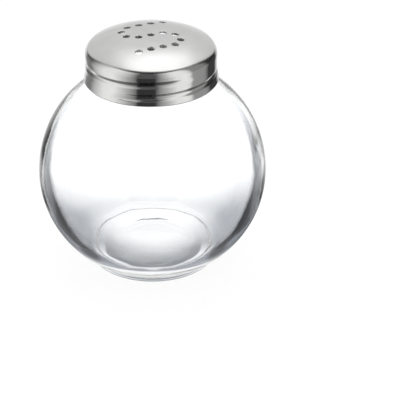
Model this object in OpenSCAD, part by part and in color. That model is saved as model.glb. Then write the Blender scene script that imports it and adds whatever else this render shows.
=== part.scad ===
// Salt shaker: a glass globe on a low foot, closed by a sheet steel screw cap with pour holes.
// The axis is Z, the table is z = 0 and the front is towards -Y.

/* [Globe] */
// Outside radius of the globe at its widest circle
globe_radius = 35; // [32:0.5:38]
// How much shallower the lower half of the globe is than its radius
globe_flattening = 1.1; // [0.5:0.1:2]
// Distance from the axis to the centre of the lower side arc
side_arc_offset = 3; // [2.5:0.1:5]
// Wall thickness at the widest circle
wall_thickness = 3; // [2.4:0.1:3.6]
// How far the centre of the hollow lies above the centre of the globe
hollow_rise = 0.9; // [0.3:0.1:1.5]
// Height of the floor of the hollow above the table
floor_height = 4.8; // [4:0.1:6]
// Radius of the round corner between the floor and the wall of the hollow
floor_corner_radius = 8; // [4:0.5:10]

/* [Foot] */
// Outside radius of the foot
foot_radius = 19.4; // [18:0.1:20]
// Height above the table at which the wall of the foot would meet the globe
foot_height = 1.6; // [1.4:0.1:3]
// Rounding of the bottom edge of the foot
foot_edge_radius = 1.1; // [0.5:0.1:1.2]
// Fillet between the foot and the globe
foot_fillet_radius = 0.5; // [0.3:0.1:0.7]
// Radius of the shallow hollow under the base
punt_radius = 13.4; // [12:0.2:15]
// Depth of the shallow hollow under the base
punt_depth = 1; // [0.5:0.1:2]

/* [Neck] */
// Outside radius of the neck
neck_radius = 18.6; // [17:0.1:20]
// Wall thickness of the neck
neck_wall = 3; // [2.5:0.1:4]
// Length of the straight neck up to the lip
neck_length = 10; // [8:0.1:14]
// Fillet between the globe and the neck
neck_fillet_radius = 1.2; // [0.5:0.1:2]
// Rounding between the bore of the neck and the hollow
mouth_edge_radius = 1.5; // [0.5:0.1:2]
// Rounding of the two edges of the lip
lip_edge_radius = 0.8; // [0.3:0.1:1]

/* [Sealing ring] */
// Thickness of the sealing ring
ring_thickness = 1.1; // [0.8:0.1:2]
// How far the ring stays inside the edges of the lip
ring_margin = 0.5; // [0.2:0.1:0.6]
// Rounding of the edges of the ring
ring_edge_radius = 0.3; // [0.1:0.05:0.35]
// Clearance between the ring and the cap above it
ring_clearance = 0.15; // [0.1:0.05:0.3]

/* [Cap] */
// Thickness of the steel sheet
sheet_thickness = 0.5; // [0.4:0.05:0.7]
// Room between the neck and the skirt, which the thread takes up
thread_room = 0.8; // [0.7:0.05:1.3]
// Radius of the nearly flat middle of the top
crown_radius = 110; // [80:5:160]
// Distance from the axis at which that middle runs into the rounder dome
crown_reach = 8; // [6:0.5:10]
// Radius of the dome between the middle of the top and the shoulder
dome_radius = 26; // [22:1:40]
// Radius of the rounded shoulder between the top and the skirt
shoulder_radius = 3; // [2:0.1:4]
// Gap between the foot of the straight neck and the rim of the cap
rim_gap = 0.6; // [0.4:0.1:2]
// How much wider the skirt is at its rim
rim_flare = 0.5; // [0.2:0.05:0.8]
// Height over which the skirt widens towards its rim
flare_height = 3.4; // [2:0.1:5]
// Outside radius of the curled edge of the rim
curl_radius = 0.55; // [0.4:0.05:0.65]

/* [Pour holes] */
// Number of holes along the S
hole_count = 15; // [11:2:15]
// Diameter of a hole
hole_diameter = 2.1; // [1.5:0.1:2.5]
// Distance from hole to hole along the S
hole_pitch = 3.9; // [3.4:0.1:4.2]
// Half length of the straight middle row of the S
middle_row_half = 3.2; // [2:0.1:4]
// Radius of the two bowls of the S
bowl_radius = 4.3; // [3.5:0.1:5]
// Angle by which the S is turned on the cap
pattern_turn = 22; // [-45:1:45]

/* [Hidden] */
$fn = 128;
// Length by which cutting shapes pass the faces that they cut
overcut = 1;

// Lower half of the globe: a side arc that runs smoothly into a flatter bottom arc centred on the axis
bottom_arc_rise = (2 * side_arc_offset * globe_flattening - pow(globe_flattening, 2))
    / (2 * (side_arc_offset - globe_flattening));
bottom_arc_radius = globe_radius - globe_flattening + bottom_arc_rise;
bottom_arc_z = foot_height + leg(bottom_arc_radius, foot_radius);
globe_z = bottom_arc_z - bottom_arc_rise;

// Fillet between the foot and the globe
foot_fillet_x = foot_radius + foot_fillet_radius;
foot_fillet_z = bottom_arc_z - leg(bottom_arc_radius + foot_fillet_radius, foot_fillet_x);
foot_edge = min(foot_edge_radius, 0.85 * foot_fillet_z);
punt_sphere_radius = (pow(punt_radius, 2) + pow(punt_depth, 2)) / (2 * punt_depth);

// Hollow of the jar
hollow_radius = globe_radius - wall_thickness;
hollow_z = globe_z + hollow_rise;
floor_corner_z = floor_height + floor_corner_radius;
floor_corner_x = leg(hollow_radius - floor_corner_radius, hollow_z - floor_corner_z);

// Neck
mouth_radius = neck_radius - neck_wall;
neck_fillet_x = neck_radius + neck_fillet_radius;
neck_foot_z = globe_z + leg(globe_radius + neck_fillet_radius, neck_fillet_x);
lip_z = neck_foot_z + neck_length;
lip_edge = min(lip_edge_radius, neck_wall / 4);
mouth_edge_x = mouth_radius + mouth_edge_radius;
mouth_edge_z = hollow_z + leg(hollow_radius + mouth_edge_radius, mouth_edge_x);

// Sealing ring
ring_inner = mouth_radius + ring_margin;
ring_outer = neck_radius - ring_margin;
ring_top_z = lip_z + ring_thickness;

// Cap
skirt_radius = neck_radius + thread_room + sheet_thickness;
shoulder_x = skirt_radius - shoulder_radius;
ring_overhang = max(0, ring_outer - shoulder_x);
shoulder_z = ring_top_z + ring_clearance - leg(shoulder_radius - sheet_thickness, ring_overhang);
dome_x = crown_reach * (crown_radius - dome_radius) / crown_radius;
dome_z = shoulder_z - leg(dome_radius - shoulder_radius, shoulder_x - dome_x);
crown_z = dome_z - leg(crown_radius - dome_radius, dome_x);
cap_top_z = crown_z + crown_radius;
rim_z = neck_foot_z + rim_gap;
rim_radius = skirt_radius + rim_flare;

// The other leg of a right triangle
function leg(longest, side) = sqrt(pow(longest, 2) - pow(side, 2));

// The point at a distance from a centre, towards a target
function towards(centre, target, distance) = centre + distance * (target - centre) / norm(target - centre);

// A point on one half of the S, at a length along it from its middle: row, bowl and end row
function half_s(length) =
    length <= middle_row_half ? [length, 0] :
    length <= middle_row_half + PI * bowl_radius ? bowl_point((length - middle_row_half) / bowl_radius * 180 / PI) :
    [2 * middle_row_half + PI * bowl_radius - length, -2 * bowl_radius];
function bowl_point(angle) = [middle_row_half + bowl_radius * sin(angle), bowl_radius * (cos(angle) - 1)];
function s_point(length) = length < 0 ? -half_s(-length) : half_s(length);

// Area between a wall, an arc and the fillet circle that is tangent to both
module fillet_area(fillet_centre, fillet_radius, arc_centre, arc_radius) {
    tangent_point = towards(arc_centre, fillet_centre, arc_radius);
    corners = [[0, fillet_centre.y], fillet_centre, tangent_point, [0, tangent_point.y]];
    order = tangent_point.y > fillet_centre.y ? [0, 1, 2, 3] : [3, 2, 1, 0];
    difference() {
        polygon([for (i = order) corners[i]]);
        translate(fillet_centre) circle(r = fillet_radius);
    }
}

module globe_area() {
    intersection() {
        translate([0, globe_z]) circle(r = globe_radius);
        translate([0, globe_z]) square(globe_radius + overcut);
    }
    intersection() {
        lower_globe_area();
        square([globe_radius + overcut, globe_z]);
    }
}

module lower_globe_area() {
    side_slope = bottom_arc_rise / side_arc_offset;
    difference() {
        translate([0, bottom_arc_z]) circle(r = bottom_arc_radius);
        // The side arc takes over outside this wedge's edge
        translate([side_arc_offset, globe_z])
            polygon([[0, 0], [globe_radius, -globe_radius * side_slope], [globe_radius, 0]]);
    }
    translate([side_arc_offset, globe_z]) circle(r = globe_radius - side_arc_offset);
}

module foot_area() {
    square([foot_radius - foot_edge, foot_fillet_z]);
    translate([0, foot_edge]) square([foot_radius, foot_fillet_z - foot_edge]);
    translate([foot_radius - foot_edge, foot_edge]) circle(r = foot_edge);
    fillet_area([foot_fillet_x, foot_fillet_z], foot_fillet_radius, [0, bottom_arc_z], bottom_arc_radius);
}

module neck_area() {
    translate([0, globe_z]) square([neck_radius - lip_edge, lip_z - globe_z]);
    translate([0, globe_z]) square([neck_radius, lip_z - lip_edge - globe_z]);
    translate([neck_radius - lip_edge, lip_z - lip_edge]) circle(r = lip_edge);
    fillet_area([neck_fillet_x, neck_foot_z], neck_fillet_radius, [0, globe_z], globe_radius);
}

module hollow_area() {
    corner = [floor_corner_x, floor_corner_z];
    far_point = towards([0, hollow_z], corner, 2 * hollow_radius);
    intersection() {
        translate([0, hollow_z]) circle(r = hollow_radius);
        polygon([[0, hollow_z], far_point, [far_point.x, lip_z], [0, lip_z]]);
    }
    translate(corner) circle(r = floor_corner_radius);
    polygon([[0, floor_height], [floor_corner_x, floor_height], corner, [0, hollow_z + hollow_radius / 2]]);
}

module mouth_area() {
    translate([0, globe_z]) square([mouth_radius, lip_z + overcut - globe_z]);
    fillet_area([mouth_edge_x, mouth_edge_z], mouth_edge_radius, [0, hollow_z], hollow_radius);
    difference() {
        translate([0, lip_z - lip_edge]) square([mouth_radius + lip_edge, lip_edge + overcut]);
        translate([mouth_radius + lip_edge, lip_z - lip_edge]) circle(r = lip_edge);
    }
}

module glass_jar() {
    color([0.86, 0.92, 0.94, 0.4])
        rotate_extrude()
            difference() {
                intersection() {
                    union() {
                        globe_area();
                        foot_area();
                        neck_area();
                    }
                    square([globe_radius + overcut, lip_z]);
                }
                hollow_area();
                mouth_area();
                translate([0, punt_depth - punt_sphere_radius]) circle(r = punt_sphere_radius);
            }
}

module sealing_ring() {
    ring_width = ring_outer - ring_inner;
    edge = ring_edge_radius;
    color("whitesmoke")
        rotate_extrude()
            translate([ring_inner, lip_z]) {
                translate([edge, 0]) square([ring_width - 2 * edge, ring_thickness]);
                translate([0, edge]) square([ring_width, ring_thickness - 2 * edge]);
                for (x = [edge, ring_width - edge], y = [edge, ring_thickness - edge])
                    translate([x, y]) circle(r = edge);
            }
}

// Area under the outside of the cap, or under its inside when drawn in by the sheet's thickness
module cap_area(inset, bottom_z) {
    top_z = cap_top_z + overcut;
    crown_slope = dome_x / (dome_z - crown_z);
    dome_slope = (shoulder_x - dome_x) / (shoulder_z - dome_z);
    intersection() {
        translate([0, crown_z]) circle(r = crown_radius - inset);
        polygon([[0, shoulder_z], [(shoulder_z - crown_z) * crown_slope, shoulder_z],
            [(top_z - crown_z) * crown_slope, top_z], [0, top_z]]);
    }
    intersection() {
        translate([dome_x, dome_z]) circle(r = dome_radius - inset);
        polygon([[0, shoulder_z], [shoulder_x, shoulder_z],
            [dome_x + (top_z - dome_z) * dome_slope, top_z], [0, top_z]]);
    }
    intersection() {
        translate([shoulder_x, shoulder_z]) circle(r = shoulder_radius - inset);
        translate([0, shoulder_z]) square([skirt_radius, shoulder_radius]);
    }
    polygon([[0, bottom_z], [rim_radius - inset, bottom_z], [rim_radius - inset, rim_z + curl_radius],
        [skirt_radius - inset, rim_z + flare_height], [skirt_radius - inset, shoulder_z], [0, shoulder_z]]);
}

module screw_cap() {
    color("silver")
        difference() {
            rotate_extrude() {
                difference() {
                    cap_area(0, rim_z + curl_radius);
                    cap_area(sheet_thickness, rim_z);
                }
                translate([rim_radius - curl_radius, rim_z + curl_radius]) circle(r = curl_radius);
            }
            rotate(pattern_turn)
                for (i = [0 : hole_count - 1])
                    translate(s_point((i - (hole_count - 1) / 2) * hole_pitch))
                        translate([0, 0, shoulder_z])
                            cylinder(d = hole_diameter, h = cap_top_z - shoulder_z + overcut);
        }
}

glass_jar();
sealing_ring();
screw_cap();
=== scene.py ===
import math

import bpy
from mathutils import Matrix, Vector, noise


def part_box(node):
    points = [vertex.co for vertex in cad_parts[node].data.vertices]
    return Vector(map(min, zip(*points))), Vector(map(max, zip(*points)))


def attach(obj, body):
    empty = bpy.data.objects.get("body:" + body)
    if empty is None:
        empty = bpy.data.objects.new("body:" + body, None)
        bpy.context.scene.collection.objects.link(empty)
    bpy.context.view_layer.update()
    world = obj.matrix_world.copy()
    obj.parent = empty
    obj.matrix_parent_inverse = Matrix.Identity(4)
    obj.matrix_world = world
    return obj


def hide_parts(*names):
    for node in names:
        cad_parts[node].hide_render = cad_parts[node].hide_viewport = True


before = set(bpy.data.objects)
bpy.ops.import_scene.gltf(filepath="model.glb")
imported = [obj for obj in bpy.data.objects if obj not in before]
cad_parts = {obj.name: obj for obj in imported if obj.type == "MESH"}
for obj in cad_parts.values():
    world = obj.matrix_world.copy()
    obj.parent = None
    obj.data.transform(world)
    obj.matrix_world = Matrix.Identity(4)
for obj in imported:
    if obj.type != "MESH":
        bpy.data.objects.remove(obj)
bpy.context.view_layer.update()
scene = bpy.context.scene
scene.view_settings.view_transform = "Standard"
mm = 0.001
mergeReach = 0.002 * mm      # points this close are one
onSurface = 0.02 * mm        # a point this close to a surface lies on it
print("frame loaded")


# outline drawing: one vertex is extruded and spun in the XZ plane, then the whole line is spun round Z

def deselectAll():
    if bpy.context.object and bpy.context.object.mode != "OBJECT":
        bpy.ops.object.mode_set(mode="OBJECT")
    bpy.ops.object.select_all(action="DESELECT")


def leg(longest, side):
    return math.sqrt(longest ** 2 - side ** 2)


class Outline:
    def __init__(self, name, x, z):
        deselectAll()
        bpy.ops.mesh.primitive_plane_add(size=mm)
        self.piece = bpy.context.object
        self.piece.name = name
        self.piece.data.name = name
        bpy.ops.object.mode_set(mode="EDIT")
        bpy.ops.mesh.select_all(action="SELECT")
        bpy.ops.mesh.merge(type="CENTER")
        bpy.ops.transform.translate(value=(x, 0, z))
        self.x = x
        self.z = z

    def line(self, x, z, steps=1):
        move = ((x - self.x) / steps, 0, (z - self.z) / steps)
        for step in range(steps):
            bpy.ops.mesh.extrude_region_move(TRANSFORM_OT_translate={"value": move})
        self.x = x
        self.z = z

    # goes round a centre until it points in the direction toAngle (degrees from +X towards +Z)
    def arc(self, centreX, centreZ, toAngle, stepAngle):
        radius = math.hypot(self.x - centreX, self.z - centreZ)
        fromAngle = math.atan2(self.z - centreZ, self.x - centreX)
        turn = math.radians(toAngle) - fromAngle
        steps = max(2, math.ceil(abs(turn) / math.radians(stepAngle)))
        bpy.ops.mesh.spin(steps=steps, angle=turn, center=(centreX, 0, centreZ), axis=(0, 1, 0))
        self.x = centreX + radius * math.cos(math.radians(toAngle))
        self.z = centreZ + radius * math.sin(math.radians(toAngle))

    def revolve(self, segments):
        bpy.ops.mesh.select_all(action="SELECT")
        bpy.ops.mesh.spin(steps=segments, angle=2 * math.pi, center=(0, 0, 0), axis=(0, 0, 1))
        bpy.ops.mesh.select_all(action="SELECT")
        bpy.ops.mesh.remove_doubles(threshold=mergeReach)
        bpy.ops.mesh.normals_make_consistent(inside=False)
        bpy.ops.object.mode_set(mode="OBJECT")
        bpy.ops.object.shade_smooth()
        return self.piece


def angleOf(fromX, fromZ, toX, toZ):
    return math.degrees(math.atan2(toZ - fromZ, toX - fromX))


# screw thread: a smooth ridge along a helix, with run-outs at both ends

thread = dict(
    lead=4 * mm,
    heightAtRight=64.0 * mm,     # cap's groove where it passes +X
    capStart=-138,               # degrees round Z, counter-clockwise from +X
    capEnd=316,
    capDepth=0.4 * mm,
    capWidths=(1.8 * mm, 0.8 * mm),      # of the groove above and below its bottom
    glassLift=2.0 * mm,          # glass ridge above the cap's groove, half the lead
    glassStart=-300,
    glassEnd=172,
    glassHeight=0.6 * mm,
    glassWidths=(1.15 * mm, 1.15 * mm),
    runOut=38,                   # degrees over which an end fades
)


def smooth(t):
    t = min(1, max(0, t))
    return t * t * (3 - 2 * t)


def helixRidge(x, y, z, lift, start, end, widths):
    around = math.degrees(math.atan2(y, x))
    best = 0
    for turn in range(-2, 3):
        angle = around + 360 * turn
        if start < angle < end:
            ridgeZ = thread["heightAtRight"] + lift + thread["lead"] * angle / 360
            nearness = smooth(1 - abs(z - ridgeZ) / widths[0 if z > ridgeZ else 1])
            fade = smooth(min(angle - start, end - angle) / thread["runOut"])
            best = max(best, nearness * fade)
    return best


def pushRadially(vertex, distance):
    radius = math.hypot(vertex.co.x, vertex.co.y)
    vertex.co.x *= (radius + distance) / radius
    vertex.co.y *= (radius + distance) / radius


# glass jar

jarLow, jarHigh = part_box("glass_jar")
jar = dict(
    globeRadius=(jarHigh[0] - jarLow[0]) / 2,
    lipZ=jarHigh[2],
    flattening=1.1 * mm,
    sideArcOffset=3 * mm,
    wall=3.0 * mm,
    hollowRise=0.9 * mm,
    floorZ=4.8 * mm,
    floorCorner=8 * mm,
    footRadius=19.4 * mm,
    footHeight=1.6 * mm,
    footEdge=1.1 * mm,
    footFillet=0.5 * mm,
    puntRadius=13.4 * mm,
    puntDepth=1 * mm,
    neckRadius=18.6 * mm,
    neckWall=3 * mm,
    neckLength=10 * mm,
    neckFillet=1.2 * mm,
    mouthEdge=1.5 * mm,
    lipEdge=0.75 * mm,
    segments=256,
    globeStep=1.6,               # degrees for each step of a large arc
    edgeStep=12,                 # degrees for each step of a small edge
    puntStep=0.5,                # of the hollow under the foot
    cornerStep=4,                # of the corner of the floor
    footRings=3,                 # steps along the straight stretches
    footSideRings=2,
    neckRings=44,
    lipRings=3,
    mouthRings=6,
    floorRings=12,
    ripple=0.10 * mm,            # unevenness of the hollow's wall, as blown glass has
    rippleSize=11 * mm,
    rippleFade=6 * mm,           # length over which it dies out at both ends
    floorRipple=0.12 * mm,       # the same on the floor of the hollow
    floorRippleSize=8 * mm,
    floorRippleFade=5 * mm,
)


def makeJar():
    globe = jar["globeRadius"]
    sideX = jar["sideArcOffset"]
    flat = jar["flattening"]
    rise = (2 * sideX * flat - flat ** 2) / (2 * (sideX - flat))
    bottomRadius = globe - flat + rise
    bottomZ = jar["footHeight"] + leg(bottomRadius, jar["footRadius"])
    globeZ = bottomZ - rise
    hollow = globe - jar["wall"]
    hollowZ = globeZ + jar["hollowRise"]
    edge = jar["footEdge"]
    footFilletX = jar["footRadius"] + jar["footFillet"]
    footFilletZ = bottomZ - leg(bottomRadius + jar["footFillet"], footFilletX)
    neckFilletX = jar["neckRadius"] + jar["neckFillet"]
    neckFootZ = jar["lipZ"] - jar["neckLength"]
    mouth = jar["neckRadius"] - jar["neckWall"]
    mouthEdgeX = mouth + jar["mouthEdge"]
    mouthEdgeZ = hollowZ + leg(hollow + jar["mouthEdge"], mouthEdgeX)
    cornerZ = jar["floorZ"] + jar["floorCorner"]
    cornerX = leg(hollow - jar["floorCorner"], hollowZ - cornerZ)
    lip = jar["lipEdge"]
    lipZ = jar["lipZ"]
    puntSphere = (jar["puntRadius"] ** 2 + jar["puntDepth"] ** 2) / (2 * jar["puntDepth"])
    puntZ = jar["puntDepth"] - puntSphere
    large = jar["globeStep"]
    small = jar["edgeStep"]

    pen = Outline("jarGlass", 0, jar["puntDepth"])
    pen.arc(0, puntZ, angleOf(0, puntZ, jar["puntRadius"], 0), jar["puntStep"])
    pen.line(jar["footRadius"] - edge, 0, jar["footRings"])
    pen.arc(jar["footRadius"] - edge, edge, 0, small)
    pen.line(jar["footRadius"], footFilletZ, jar["footSideRings"])
    pen.arc(footFilletX, footFilletZ, angleOf(footFilletX, footFilletZ, 0, bottomZ), small)
    pen.arc(0, bottomZ, angleOf(0, bottomZ, sideX, globeZ), large)
    pen.arc(sideX, globeZ, 0, large)
    pen.arc(0, globeZ, angleOf(0, globeZ, neckFilletX, neckFootZ), large)
    pen.arc(neckFilletX, neckFootZ, -180, small)
    pen.line(jar["neckRadius"], lipZ - lip, jar["neckRings"])
    pen.arc(jar["neckRadius"] - lip, lipZ - lip, 90, small)
    pen.line(mouth + lip, lipZ, jar["lipRings"])
    pen.arc(mouth + lip, lipZ - lip, 180, small)
    pen.line(mouth, mouthEdgeZ, jar["mouthRings"])
    pen.arc(mouthEdgeX, mouthEdgeZ, angleOf(mouthEdgeX, mouthEdgeZ, 0, hollowZ) + 360, small)
    pen.arc(0, hollowZ, angleOf(0, hollowZ, cornerX, cornerZ), large)
    pen.arc(cornerX, cornerZ, -90, jar["cornerStep"])
    pen.line(0, jar["floorZ"], jar["floorRings"])
    piece = pen.revolve(jar["segments"])
    mouldThread(piece, neckFootZ, lipZ - lip)
    rippleHollow(piece, hollow, hollowZ, cornerZ, mouthEdgeZ)
    rippleFloor(piece, cornerX, cornerZ)
    return piece


def mouldThread(piece, lowZ, highZ):
    for vertex in piece.data.vertices:
        x, y, z = vertex.co
        onNeck = abs(math.hypot(x, y) - jar["neckRadius"]) < onSurface
        if onNeck and lowZ < z < highZ:
            shape = helixRidge(x, y, z, thread["glassLift"], thread["glassStart"], thread["glassEnd"],
                               thread["glassWidths"])
            pushRadially(vertex, shape * thread["glassHeight"])


# the hollow's wall gets a slight unevenness that dies out at the floor and the mouth
def rippleHollow(piece, hollow, hollowZ, lowZ, highZ):
    centre = Vector((0, 0, hollowZ))
    length = jar["rippleFade"]
    for vertex in piece.data.vertices:
        out = vertex.co - centre
        if abs(out.length - hollow) < onSurface and lowZ < vertex.co.z < highZ:
            fade = smooth((vertex.co.z - lowZ) / length) * smooth((highZ - vertex.co.z) / length)
            wave = noise.noise(vertex.co / jar["rippleSize"])
            vertex.co += out.normalized() * (wave * fade * jar["ripple"])


# the floor and its rounded corner are uneven too
def rippleFloor(piece, cornerX, cornerZ):
    for vertex in piece.data.vertices:
        x, y, z = vertex.co
        out = math.hypot(x, y)
        onFloor = abs(z - jar["floorZ"]) < onSurface and out < cornerX + onSurface
        onCorner = abs(math.hypot(out - cornerX, z - cornerZ) - jar["floorCorner"]) < onSurface
        if onFloor or onCorner and z < cornerZ:
            fade = smooth((cornerZ - z) / jar["floorRippleFade"])
            vertex.co.z += noise.noise(vertex.co / jar["floorRippleSize"]) * fade * jar["floorRipple"]


# screw cap

capLow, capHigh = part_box("screw_cap")
cap = dict(
    topZ=capHigh[2],
    rimZ=capLow[2],
    rimRadius=(capHigh[0] - capLow[0]) / 2,
    rimFlare=0.5 * mm,
    flareHeight=3.4 * mm,
    sheet=0.5 * mm,
    crownRadius=110 * mm,        # nearly flat middle of the top
    crownReach=8 * mm,
    domeRadius=26 * mm,          # rounder edge of the top
    shoulder=3 * mm,
    curl=0.55 * mm,
    curlEnd=-262,                # degrees, where the curled rim ends inside
    skirtDepth=2.2 * mm,         # what lies this close to the rim's radius is the skirt
    smoothAngle=15,              # degrees, faces that meet at less look smooth
    segments=256,
    crownStep=0.5,               # degrees for each step of an arc
    domeStep=1.2,
    shoulderStep=4,
    curlStep=12,
    bandRings=44,
    flareRings=28,
)
holes = dict(
    count=15,
    diameter=2.1 * mm,
    pitch=3.9 * mm,
    rowHalf=3.2 * mm,
    bowl=4.3 * mm,
    turn=22,                     # degrees
    roll=0.24 * mm,              # rounding of the punched edge
    rollEnd=106,                 # degrees, past the level of the top
    rollStep=12,
    punchDepth=2 * mm,           # of the tool that cuts a hole, below and above the top
    punchRise=1 * mm,
    wallRings=2,
    flare=3,                     # how far the tool widens above the roll, in rolls
    sides=48,
)


def makeCap():
    skirt = cap["rimRadius"] - cap["rimFlare"]
    shoulderX = skirt - cap["shoulder"]
    crownZ = cap["topZ"] - cap["crownRadius"]
    domeX = cap["crownReach"] * (1 - cap["domeRadius"] / cap["crownRadius"])
    domeZ = crownZ + leg(cap["crownRadius"] - cap["domeRadius"], domeX)
    shoulderZ = domeZ + leg(cap["domeRadius"] - cap["shoulder"], shoulderX - domeX)
    crownAngle = angleOf(0, crownZ, domeX, domeZ)
    shoulderAngle = angleOf(domeX, domeZ, shoulderX, shoulderZ)
    flareZ = cap["rimZ"] + cap["flareHeight"]
    curlX = cap["rimRadius"] - cap["curl"]
    curlZ = cap["rimZ"] + cap["curl"]
    sheet = cap["sheet"]

    pen = Outline("capSteel", 0, cap["topZ"])
    pen.arc(0, crownZ, crownAngle, cap["crownStep"])
    pen.arc(domeX, domeZ, shoulderAngle, cap["domeStep"])
    pen.arc(shoulderX, shoulderZ, 0, cap["shoulderStep"])
    pen.line(skirt, flareZ, cap["bandRings"])
    pen.line(cap["rimRadius"], curlZ, cap["flareRings"])
    pen.arc(curlX, curlZ, cap["curlEnd"], cap["curlStep"])
    innerRimZ = pen.z + sheet
    share = (innerRimZ - curlZ) / (flareZ - curlZ)
    pen.line(cap["rimRadius"] - cap["rimFlare"] * share - sheet, innerRimZ)
    pen.line(skirt - sheet, flareZ, cap["flareRings"])
    pen.line(skirt - sheet, shoulderZ, cap["bandRings"])
    pen.arc(shoulderX, shoulderZ, shoulderAngle, cap["shoulderStep"])
    pen.arc(domeX, domeZ, crownAngle, cap["domeStep"])
    pen.arc(0, crownZ, 90, cap["crownStep"])
    piece = pen.revolve(cap["segments"])
    rollThread(piece, innerRimZ, shoulderZ)
    punchHoles(piece, (0, crownZ), (domeX, domeZ))
    return piece


# the thread is rolled into the sheet, so both faces move inwards together
def rollThread(piece, lowZ, highZ):
    for vertex in piece.data.vertices:
        x, y, z = vertex.co
        if lowZ <= z <= highZ and math.hypot(x, y) > cap["rimRadius"] - cap["skirtDepth"]:
            shape = helixRidge(x, y, z, 0, thread["capStart"], thread["capEnd"], thread["capWidths"])
            pushRadially(vertex, -shape * thread["capDepth"])


# place along the S at a length from its middle: straight row, bowl, end row
def alongS(length):
    if length < 0:
        x, y = alongS(-length)
        return -x, -y
    row, bowl = holes["rowHalf"], holes["bowl"]
    if length <= row:
        return length, 0
    if length <= row + math.pi * bowl:
        angle = (length - row) / bowl
        return row + bowl * math.sin(angle), bowl * (math.cos(angle) - 1)
    return 2 * row + math.pi * bowl - length, -2 * bowl


def makePunch():
    radius = holes["diameter"] / 2
    roll = holes["roll"]
    pen = Outline("punch", 0, -holes["punchDepth"])
    pen.line(radius, -holes["punchDepth"])
    pen.line(radius, -roll, holes["wallRings"])
    pen.arc(radius + roll, -roll, holes["rollEnd"], holes["rollStep"])
    pen.line(radius + holes["flare"] * roll, holes["punchRise"])
    pen.line(0, holes["punchRise"])
    return pen.revolve(holes["sides"])


# each hole is square to the top, which is the crown in the middle and the dome further out
def punchHoles(piece, crown, dome):
    punch = makePunch()
    turn = math.radians(holes["turn"])
    punches = []
    for index in range(holes["count"]):
        x, y = alongS((index - (holes["count"] - 1) / 2) * holes["pitch"])
        out = math.hypot(x, y)
        onCrown = out < cap["crownReach"]
        centreX, centreZ = crown if onCrown else dome
        height = leg(cap["crownRadius"] if onCrown else cap["domeRadius"], out - centreX)
        lean = math.atan2(out - centreX, height)
        copy = punch.copy()
        copy.data = punch.data.copy()
        scene.collection.objects.link(copy)
        around = math.atan2(y, x) + turn
        copy.rotation_euler = (0, lean, around)
        copy.location = (out * math.cos(around), out * math.sin(around), centreZ + height)
        punches.append(copy)
    bpy.data.objects.remove(punch)
    deselectAll()
    for copy in punches:
        copy.select_set(True)
    bpy.context.view_layer.objects.active = punches[0]
    bpy.ops.object.join()
    tool = bpy.context.object
    deselectAll()
    piece.select_set(True)
    bpy.context.view_layer.objects.active = piece
    cut = piece.modifiers.new("pourHoles", "BOOLEAN")
    cut.operation = "DIFFERENCE"
    cut.solver = "EXACT"
    cut.object = tool
    bpy.ops.object.modifier_apply(modifier=cut.name)
    bpy.data.objects.remove(tool)
    bpy.ops.object.shade_smooth_by_angle(angle=math.radians(cap["smoothAngle"]))


jarGlass = makeJar()
print("jar modelled:", len(jarGlass.data.polygons), "faces")
capSteel = makeCap()
print("cap modelled:", len(capSteel.data.polygons), "faces")


# materials: scales are in noise cells to the metre

glass = dict(
    tint=(0.992, 0.998, 1),
    ior=1.5,
    hazeScale=45,
    haze=0.012,                  # roughness where it is haziest
    waveScale=130,
    waveDepth=0.02 * mm,
)
steel = dict(
    satinFrom=(70.6 * mm, 72.0 * mm),    # height at which the polish turns to satin
    roughness=(0.09, 0.34),
    tones=((0.715, 0.715, 0.71), (0.76, 0.76, 0.75)),
    toneScale=260,
    smudge=(-0.02, 0.03),        # change of roughness
    smudgeScale=70,
    grainScale=2600,
    grainDepth=0.0015 * mm,
)
shadedSteelInside = dict(
    fromRadius=15 * mm,          # beyond this, what faces inwards is the inside of the skirt
    facing=-0.5,                 # what points down more than this is the inside of the top
    # darker than the outside: painted shade of the cap's hollow
    tones=((0.22, 0.22, 0.22), (0.32, 0.32, 0.31)),
    toneScale=300,
    roughness=(0.5, 0.65),
    roughScale=160,
)
silicone = dict(
    tones=((0.82, 0.82, 0.80), (0.88, 0.88, 0.86)),
    toneScale=220,
    roughness=(0.48, 0.62),
    roughScale=400,
    grainScale=1500,
    grainDepth=0.004 * mm,
)
noiseSpan = (0.3, 0.7)           # most of what the noise gives lies between these


def newMaterial(name):
    material = bpy.data.materials.new(name)
    material.use_nodes = True
    nodes = material.node_tree.nodes
    return material, nodes, material.node_tree.links, nodes["Principled BSDF"]


def mathNode(nodes, links, operation, first, second):
    node = nodes.new("ShaderNodeMath")
    node.operation = operation
    for socket, value in zip(node.inputs, (first, second)):
        if isinstance(value, (int, float)):
            socket.default_value = value
        else:
            links.new(value, socket)
    return node.outputs[0]


def splitOf(nodes, links, place):
    split = nodes.new("ShaderNodeSeparateXYZ")
    links.new(place, split.inputs[0])
    return split.outputs


def easedStep(nodes, links, value, ends, low, high):
    step = nodes.new("ShaderNodeMapRange")
    step.interpolation_type = "SMOOTHSTEP"
    links.new(value, step.inputs["Value"])
    step.inputs["From Min"].default_value = ends[0]
    step.inputs["From Max"].default_value = ends[1]
    step.inputs["To Min"].default_value = low
    step.inputs["To Max"].default_value = high
    return step.outputs[0]


def mixColour(nodes, links, factor, first, second):
    mix = nodes.new("ShaderNodeMix")
    mix.data_type = "RGBA"
    links.new(factor, mix.inputs[0])
    for socket, value in ((mix.inputs[6], first), (mix.inputs[7], second)):
        if isinstance(value, tuple):
            socket.default_value = (*value, 1)
        else:
            links.new(value, socket)
    return mix.outputs[2]


def mixValue(nodes, links, factor, first, second):
    mix = nodes.new("ShaderNodeMix")
    links.new(factor, mix.inputs[0])
    for socket, value in ((mix.inputs[2], first), (mix.inputs[3], second)):
        if isinstance(value, (int, float)):
            socket.default_value = value
        else:
            links.new(value, socket)
    return mix.outputs[0]


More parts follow.
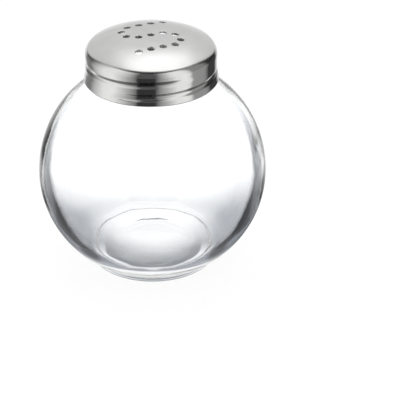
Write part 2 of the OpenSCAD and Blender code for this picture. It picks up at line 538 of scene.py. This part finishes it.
def noiseValue(nodes, links, place, scale, low, high, detail=3):
    speck = nodes.new("ShaderNodeTexNoise")
    speck.inputs["Scale"].default_value = scale
    speck.inputs["Detail"].default_value = detail
    links.new(place, speck.inputs["Vector"])
    spread = nodes.new("ShaderNodeMapRange")
    spread.inputs["From Min"].default_value = noiseSpan[0]
    spread.inputs["From Max"].default_value = noiseSpan[1]
    spread.inputs["To Min"].default_value = low
    spread.inputs["To Max"].default_value = high
    links.new(speck.outputs["Fac"], spread.inputs["Value"])
    return spread.outputs[0]


def bumpFrom(nodes, links, height, distance, shader):
    bump = nodes.new("ShaderNodeBump")
    bump.inputs["Strength"].default_value = 1
    bump.inputs["Distance"].default_value = distance
    links.new(height, bump.inputs["Height"])
    links.new(bump.outputs[0], shader.inputs["Normal"])


# the glass is clear, with the slight waviness of a mould and a breath of haze here and there
def clearGlass():
    material, nodes, links, shader = newMaterial("clearGlass")
    shader.inputs["Base Color"].default_value = (*glass["tint"], 1)
    shader.inputs["Transmission Weight"].default_value = 1
    shader.inputs["IOR"].default_value = glass["ior"]
    place = nodes.new("ShaderNodeTexCoord").outputs["Object"]
    haze = noiseValue(nodes, links, place, glass["hazeScale"], 0, glass["haze"])
    links.new(haze, shader.inputs["Roughness"])
    wave = noiseValue(nodes, links, place, glass["waveScale"], 0, 1, detail=1)
    bumpFrom(nodes, links, wave, glass["waveDepth"], shader)
    return material


# polished skirt and satin top, with a fine grain and faint smudges
def polishedSteel():
    material, nodes, links, shader = newMaterial("polishedSteel")
    shader.inputs["Metallic"].default_value = 1
    place = nodes.new("ShaderNodeTexCoord").outputs["Object"]
    speck = noiseValue(nodes, links, place, steel["toneScale"], 0, 1)
    links.new(mixColour(nodes, links, speck, *steel["tones"]), shader.inputs["Base Color"])
    height = splitOf(nodes, links, place)["Z"]
    satin = easedStep(nodes, links, height, steel["satinFrom"], *steel["roughness"])
    smudge = noiseValue(nodes, links, place, steel["smudgeScale"], *steel["smudge"])
    links.new(mathNode(nodes, links, "ADD", satin, smudge), shader.inputs["Roughness"])
    grain = noiseValue(nodes, links, place, steel["grainScale"], 0, 1, detail=2)
    bumpFrom(nodes, links, grain, steel["grainDepth"], shader)
    return material


# the inside of the cap is left as rolled, rougher, and its colour is darkened as a painted shade of the
# hollow
def dullShadedSteel():
    material, nodes, links, shader = newMaterial("dullShadedSteel")
    shader.inputs["Metallic"].default_value = 1
    place = nodes.new("ShaderNodeTexCoord").outputs["Object"]
    speck = noiseValue(nodes, links, place, shadedSteelInside["toneScale"], 0, 1)
    links.new(mixColour(nodes, links, speck, *shadedSteelInside["tones"]), shader.inputs["Base Color"])
    rough = noiseValue(nodes, links, place, shadedSteelInside["roughScale"], *shadedSteelInside["roughness"])
    links.new(rough, shader.inputs["Roughness"])
    return material


# the sealing ring is matt, with a fine moulded grain
def softSilicone():
    material, nodes, links, shader = newMaterial("softSilicone")
    place = nodes.new("ShaderNodeTexCoord").outputs["Object"]
    speck = noiseValue(nodes, links, place, silicone["toneScale"], 0, 1)
    links.new(mixColour(nodes, links, speck, *silicone["tones"]), shader.inputs["Base Color"])
    rough = noiseValue(nodes, links, place, silicone["roughScale"], *silicone["roughness"])
    links.new(rough, shader.inputs["Roughness"])
    grain = noiseValue(nodes, links, place, silicone["grainScale"], 0, 1, detail=2)
    bumpFrom(nodes, links, grain, silicone["grainDepth"], shader)
    return material


jarGlass.data.materials.append(clearGlass())
capSteel.data.materials.append(polishedSteel())
capSteel.data.materials.append(dullShadedSteel())
# faces inside the cap take the darker steel, a painted shade of the hollow
for face in capSteel.data.polygons:
    outward = face.normal.x * face.center.x + face.normal.y * face.center.y > 0
    onSkirt = math.hypot(face.center.x, face.center.y) > shadedSteelInside["fromRadius"]
    inside = face.normal.z < shadedSteelInside["facing"] or onSkirt and not outward
    if inside and face.center.z > cap["rimZ"] + cap["curl"]:
        face.material_index = 1
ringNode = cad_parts["sealing_ring"]
ringNode.data.materials.clear()
ringNode.data.materials.append(softSilicone())
print("materials made")

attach(jarGlass, "jar")
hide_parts("glass_jar")
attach(capSteel, "cap")
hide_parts("screw_cap")


# studio: floor and sky are plain white to the eye
# metal also sees softboxes and dark gaps, and glass sees painted shade and painted light on the floor

studio = dict(
    floorSize=6,                 # metres
    floorColour=(0.9, 0.9, 0.9),
    floorGlow=0.88,              # share of the floor that is plain white to the eye
    worldLight=0.9,              # of the sky on matt things
    eyeLevel=1.04,               # white of the floor to the eye
    glassLevel=1.20,             # the same through the glass, which makes up for its reflections
    frontSkyTop=(0.78, 0.88),    # sine of the elevation where the front softboxes end
    skyGap=0.04,                 # what is left of them above that
    lamp=dict(size=0.7, height=0.8, back=0.35, power=2.0),
)
skyBoxes = [           # softboxes behind and above, edge is the cosine of the angle from the aim
    dict(aim=(0, 0.80, 0.60), edge=(0.62, 0.74), level=0.71),
    dict(aim=(0.08, 0.31, 0.95), edge=(0.83, 0.955), level=1.6),
]
softboxes = [          # degrees from the front (right positive), level on the floor, level above it
    (-180, 1.25, 0.50), (-170, 1.15, 0.50), (-161, 0.90, 0.45), (-149, 0.80, 0.40),
    (-138, 0.25, 0.12), (-120, 0.22, 0.14), (-105, 0.60, 0.55), (-85, 0.95, 1.00),
    (-66, 1.00, 1.00), (-50, 0.72, 0.80), (-38, 0.45, 0.55), (-29, 0.28, 0.30),
    (-25, 0.18, 0.16), (-23, 0.04, 0.10), (6, 0.04, 0.10), (9, 0.18, 0.15),
    (16, 0.35, 0.40), (24, 0.50, 0.60), (33, 0.70, 0.90), (42, 0.95, 1.00),
    (58, 1.00, 1.00), (66, 0.90, 0.80), (72, 0.36, 0.30), (100, 0.32, 0.25),
    (107, 0.18, 0.08), (111, 0.05, 0.03), (136, 0.05, 0.03), (149, 0.75, 0.40),
    (161, 0.90, 0.45), (170, 1.15, 0.50), (180, 1.25, 0.50),
]
steelShade = dict(     # levels of the floor close to the shaker, as reflections show it
    near=0.22,                   # of the softboxes' level
    reach=(68 * mm, 98 * mm),
    behind=0.9,
    behindReach=22 * mm,         # how much further the shade reaches behind the shaker
    behindFrom=(15 * mm, 60 * mm),       # along Y
    foot=0.75,
    footReach=(22 * mm, 30 * mm),
)
glassShade = dict(     # floor beside and in front of the shaker, as the glass shows it
    colour=(0.27, 0.29, 0.325),
    edge=(0, 40 * mm),           # along Y, from that shade to the white floor behind
    bow=0.3,                     # how far that edge bows back, for each step to the side
    front=(-60 * mm, -30 * mm),  # along Y, where the floor is white again in front
    side=(60 * mm, 85 * mm),     # along X, where it is white again at the sides
)
frontShadePatch = dict(          # painted shade in front, on either side
    y=-12.5 * mm,
    reachX=8 * mm,
    reachY=9 * mm,
    core=0.4,                    # share of its reach that isn't faded
    colour=(0.10, 0.105, 0.115),
)
paintedSpots = [              # painted shade and painted light on the floor, each laid over the ones before it
    # lighter floor in front, where the painted shade ends
    dict(x=0, y=-52 * mm, reachX=40 * mm, reachY=32 * mm, core=0.55, colour=(0.90, 0.91, 0.93)),
    # painted shadow under the foot
    dict(x=0, y=0, reachX=16.8 * mm, reachY=16.8 * mm, core=0.9, colour=(0.17, 0.18, 0.20)),
    # painted shade on either side, in front of the foot
    dict(frontShadePatch, x=-25 * mm),
    dict(frontShadePatch, x=25 * mm),
    # painted pool of light under the globe
    dict(x=0, y=11 * mm, reachX=29 * mm, reachY=24 * mm, core=0.3, colour=(0.86, 0.86, 0.87)),
]
footGlow = dict(       # bright ring that the glass throws on the floor in front of its foot
    inner=(15.8 * mm, 16.8 * mm),
    outer=(21.0 * mm, 22.4 * mm),
    front=(-8 * mm, 0),          # along Y, where it fades
    colour=(0.92, 0.93, 0.95),
)
edgeShade = dict(        # painted shade on the floor on either side, which gives the globe its dark edges
    lean=27.6,                   # degrees between its inner edge and the Y axis
    edge=(29.2 * mm, 30.8 * mm), # distance of that edge from the shaker's axis
    front=(-42 * mm, -22 * mm),  # along Y, where it ends in front
    outer=(50 * mm, 66 * mm),    # along X, where it ends outside
    outerLean=0.9,               # how far that moves out, for each step back
    tint=(1, 1.03, 1.08),
    tones=[(0, 0.05), (8 * mm, 0.06), (15 * mm, 0.13), (28 * mm, 0.24), (50 * mm, 0.36),
           (80 * mm, 0.44), (120 * mm, 0.52), (200 * mm, 0.62), (320 * mm, 0.9)],    # along Y
)


def lengthOf(nodes, links, place):
    length = nodes.new("ShaderNodeVectorMath")
    length.operation = "LENGTH"
    links.new(place, length.inputs[0])
    return length.outputs["Value"]


def rampThrough(nodes, links, value, tones):
    ramp = nodes.new("ShaderNodeValToRGB")
    links.new(value, ramp.inputs[0])
    stops = ramp.color_ramp.elements
    while len(stops) < len(tones):
        stops.new(0.5)
    for stop, (position, colour) in zip(stops, tones):
        stop.position = position
        stop.color = (*colour, 1)
    return ramp.outputs[0]


# distance from the middle of a painted spot on the floor, in units of its reach
def reachOf(nodes, links, place, paintedSpot):
    fit = nodes.new("ShaderNodeMapping")
    fit.vector_type = "TEXTURE"
    fit.inputs["Location"].default_value = (paintedSpot["x"], paintedSpot["y"], 0)
    fit.inputs["Scale"].default_value = (paintedSpot["reachX"], paintedSpot["reachY"], 1)
    links.new(place, fit.inputs["Vector"])
    return lengthOf(nodes, links, fit.outputs[0])


# levels of the softboxes and gaps on the floor and above it, in the direction of a point
def softboxLevels(nodes, links, split):
    front = mathNode(nodes, links, "MULTIPLY", split["Y"], -1)
    turn = mathNode(nodes, links, "ARCTAN2", split["X"], front)
    turn = mathNode(nodes, links, "MULTIPLY", turn, 1 / (2 * math.pi))
    turn = mathNode(nodes, links, "ADD", turn, 0.5)
    tones = [(degrees / 360 + 0.5, (below, above, 0)) for degrees, below, above in softboxes]
    levels = nodes.new("ShaderNodeSeparateColor")
    links.new(rampThrough(nodes, links, turn, tones), levels.inputs[0])
    return levels.outputs[0], levels.outputs[1]


def layPaintedSpot(nodes, links, place, seen, paintedSpot):
    share = easedStep(nodes, links, reachOf(nodes, links, place, paintedSpot), (paintedSpot["core"], 1), 1, 0)
    return mixColour(nodes, links, share, seen, paintedSpot["colour"])


# the edge of the globe looks past a slanted line on either side, at a painted shade on the floor that
# gets lighter to the back
def edgeShadeInGlass(nodes, links, split, side):
    lean = math.radians(edgeShade["lean"])
    across = mathNode(nodes, links, "MULTIPLY", side, math.cos(lean))
    along = mathNode(nodes, links, "MULTIPLY", split["Y"], math.sin(lean))
    reach = mathNode(nodes, links, "SUBTRACT", across, along)
    share = easedStep(nodes, links, reach, edgeShade["edge"], 0, 1)
    front = easedStep(nodes, links, split["Y"], edgeShade["front"], 0, 1)
    share = mathNode(nodes, links, "MULTIPLY", share, front)
    back = mathNode(nodes, links, "MULTIPLY", split["Y"], edgeShade["outerLean"])
    out = mathNode(nodes, links, "SUBTRACT", side, back)
    outer = easedStep(nodes, links, out, edgeShade["outer"], 1, 0)
    share = mathNode(nodes, links, "MULTIPLY", share, outer)
    low, high = edgeShade["tones"][0][0], edgeShade["tones"][-1][0]
    depth = mathNode(nodes, links, "SUBTRACT", split["Y"], low)
    depth = mathNode(nodes, links, "DIVIDE", depth, high - low)
    tones = [((y - low) / (high - low), [level * part for part in edgeShade["tint"]])
             for y, level in edgeShade["tones"]]
    return share, rampThrough(nodes, links, depth, tones)


# the floor as the glass shows it: painted shade and painted light round the shaker, with a painted ring
# of light in front of its foot
def floorThroughGlass(nodes, links, place):
    split = splitOf(nodes, links, place)
    side = mathNode(nodes, links, "ABSOLUTE", split["X"], 0)
    aside = mathNode(nodes, links, "MULTIPLY", side, glassShade["bow"])
    depth = mathNode(nodes, links, "SUBTRACT", split["Y"], aside)
    behind = easedStep(nodes, links, depth, glassShade["edge"], 0, 1)
    before = easedStep(nodes, links, split["Y"], glassShade["front"], 1, 0)
    white = mathNode(nodes, links, "MAXIMUM", behind, before)
    beyond = easedStep(nodes, links, side, glassShade["side"], 0, 1)
    white = mathNode(nodes, links, "MAXIMUM", white, beyond)
    seen = mixColour(nodes, links, white, glassShade["colour"], (1, 1, 1))
    for paintedSpot in paintedSpots:
        seen = layPaintedSpot(nodes, links, place, seen, paintedSpot)
    far = lengthOf(nodes, links, place)
    inner = easedStep(nodes, links, far, footGlow["inner"], 0, 1)
    outer = easedStep(nodes, links, far, footGlow["outer"], 1, 0)
    front = easedStep(nodes, links, split["Y"], footGlow["front"], 1, 0)
    glow = mathNode(nodes, links, "MULTIPLY", inner, outer)
    glow = mathNode(nodes, links, "MULTIPLY", glow, front)
    seen = mixColour(nodes, links, glow, seen, footGlow["colour"])
    share, tone = edgeShadeInGlass(nodes, links, split, side)
    return mixColour(nodes, links, share, seen, tone)


# reflections show the softboxes on the floor, and a shade round the shaker
# that shade is lighter under the shaker and behind it
def floorInSteel(nodes, links, place):
    far = lengthOf(nodes, links, place)
    split = splitOf(nodes, links, place)
    softbox = softboxLevels(nodes, links, split)[0]
    near = mathNode(nodes, links, "MULTIPLY", softbox, steelShade["near"])
    behind = easedStep(nodes, links, split["Y"], steelShade["behindFrom"], 0, 1)
    near = mixValue(nodes, links, behind, near, steelShade["behind"])
    further = mathNode(nodes, links, "MULTIPLY", behind, steelShade["behindReach"])
    further = mathNode(nodes, links, "SUBTRACT", far, further)
    beyond = easedStep(nodes, links, further, steelShade["reach"], 0, 1)
    seen = mixValue(nodes, links, beyond, near, softbox)
    under = easedStep(nodes, links, far, steelShade["footReach"], 1, 0)
    return mixValue(nodes, links, under, seen, steelShade["foot"])


def makeFloor():
    deselectAll()
    bpy.ops.mesh.primitive_plane_add(size=studio["floorSize"])
    floor = bpy.context.object
    floor.name = "studioFloor"
    material = bpy.data.materials.new("paleFloor")
    material.use_nodes = True
    nodes, links = material.node_tree.nodes, material.node_tree.links
    nodes.remove(nodes["Principled BSDF"])
    path = nodes.new("ShaderNodeLightPath").outputs
    place = nodes.new("ShaderNodeTexCoord").outputs["Object"]
    eye = mathNode(nodes, links, "MULTIPLY", path["Is Camera Ray"], studio["floorGlow"])
    eye = mathNode(nodes, links, "MAXIMUM", eye, path["Is Glossy Ray"])
    eye = mathNode(nodes, links, "MAXIMUM", eye, path["Is Transmission Ray"])
    through = floorThroughGlass(nodes, links, place)
    mirror = floorInSteel(nodes, links, place)
    seen = mixColour(nodes, links, path["Is Glossy Ray"], (1, 1, 1), mirror)
    # a ray through the glass counts as glossy too, so it comes last
    seen = mixColour(nodes, links, path["Is Transmission Ray"], seen, through)
    more = studio["glassLevel"] - studio["eyeLevel"]
    level = mathNode(nodes, links, "MULTIPLY", path["Is Transmission Ray"], more)
    level = mathNode(nodes, links, "ADD", level, studio["eyeLevel"])
    matt = nodes.new("ShaderNodeBsdfDiffuse")
    matt.inputs["Color"].default_value = (*studio["floorColour"], 1)
    glow = nodes.new("ShaderNodeEmission")
    links.new(level, glow.inputs["Strength"])
    links.new(seen, glow.inputs["Color"])
    both = nodes.new("ShaderNodeMixShader")
    links.new(eye, both.inputs[0])
    links.new(matt.outputs[0], both.inputs[1])
    links.new(glow.outputs[0], both.inputs[2])
    links.new(both.outputs[0], nodes["Material Output"].inputs["Surface"])
    floor.data.materials.append(material)


def makeWorld():
    world = bpy.data.worlds.new("studioWorld")
    scene.world = world
    world.use_nodes = True
    nodes, links = world.node_tree.nodes, world.node_tree.links
    background = nodes["Background"]
    background.inputs["Color"].default_value = (1, 1, 1, 1)
    path = nodes.new("ShaderNodeLightPath").outputs
    place = nodes.new("ShaderNodeTexCoord").outputs["Generated"]
    split = splitOf(nodes, links, place)
    top = easedStep(nodes, links, split["Z"], studio["frontSkyTop"], 1, studio["skyGap"])
    sky = mathNode(nodes, links, "MULTIPLY", softboxLevels(nodes, links, split)[1], top)
    for box in skyBoxes:
        aim = nodes.new("ShaderNodeVectorMath")
        aim.operation = "DOT_PRODUCT"
        links.new(place, aim.inputs[0])
        aim.inputs[1].default_value = box["aim"]
        level = easedStep(nodes, links, aim.outputs["Value"], box["edge"], 0, box["level"])
        sky = mathNode(nodes, links, "MAXIMUM", sky, level)
    seen = mixValue(nodes, links, path["Is Camera Ray"], studio["worldLight"], 1)
    seen = mixValue(nodes, links, path["Is Glossy Ray"], seen, sky)
    seen = mixValue(nodes, links, path["Is Transmission Ray"], seen, studio["glassLevel"])
    links.new(seen, background.inputs["Strength"])


def makeLamp():
    lamp = studio["lamp"]
    data = bpy.data.lights.new("softLamp", "AREA")
    data.size = lamp["size"]
    data.energy = lamp["power"]
    piece = bpy.data.objects.new("softLamp", data)
    scene.collection.objects.link(piece)
    piece.location = (0, lamp["back"], lamp["height"])
    piece.rotation_euler = (-math.atan2(lamp["back"], lamp["height"]), 0, 0)
    piece.visible_camera = False
    piece.visible_glossy = False


makeFloor()
makeWorld()
makeLamp()

view = dict(
    lens=180,                    # millimetres, like the sensor
    sensor=36,
    nearest=10 * mm,             # what is nearer isn't drawn
    distance=619 * mm,           # from the centre of the globe
    height=29.7 * mm,            # of that centre
    elevation=28.0,              # degrees above it
    aimBelow=0.915,              # degrees that the camera aims below and to the right of it
    aimRight=1.537,
)


def makeCamera():
    data = bpy.data.cameras.new("photoView")
    data.lens = view["lens"]
    data.sensor_width = view["sensor"]
    data.clip_start = view["nearest"]
    camera = bpy.data.objects.new("photoView", data)
    scene.collection.objects.link(camera)
    up = math.radians(view["elevation"])
    back = view["distance"] * math.cos(up)
    camera.location = (0, -back, view["height"] + view["distance"] * math.sin(up))
    pitch = math.radians(90 - view["elevation"] - view["aimBelow"])
    camera.rotation_euler = (pitch, 0, -math.radians(view["aimRight"]))
    scene.camera = camera


makeCamera()
print("studio set")
